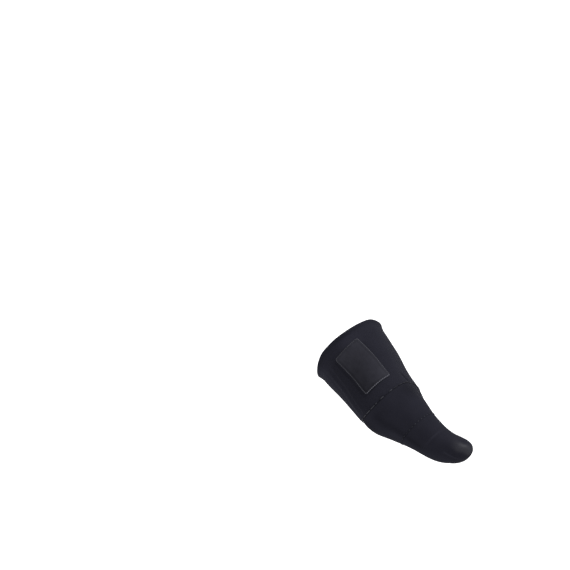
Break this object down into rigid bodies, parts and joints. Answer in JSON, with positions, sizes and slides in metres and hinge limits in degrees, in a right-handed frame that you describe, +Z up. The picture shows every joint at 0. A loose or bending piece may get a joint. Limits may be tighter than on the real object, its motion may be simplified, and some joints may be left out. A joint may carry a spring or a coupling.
{
  "type": "bunion splint",
  "caption": "Stretch-fabric bunion sleeve for a left foot: midfoot band, forefoot panel, closed big-toe pocket and an opening for the small toes; worn to hold the big toe straight.",
  "frame": {"origin": "centre of the rear mouth, where the foot goes in", "axes": "+X along the foot towards the toes, +Y towards the little toe, +Z up, away from the sole"},
  "size_m": [0.1312, 0.0961, 0.0595],
  "materials": {
    "band_fabric": "fine black stretch knit, matt",
    "panel_fabric": "smooth black stretch fabric, matt",
    "pocket_fabric": "fine black stretch knit with a faint sheen",
    "patch_fabric": "black woven patch with a thin grey stitched border"
  },
  "bodies": {
    "root": {"midfoot_band": "band_fabric", "forefoot_panel": "panel_fabric", "toe_pocket": "pocket_fabric", "label_patch": "patch_fabric"}
  },
  "joints": []
}
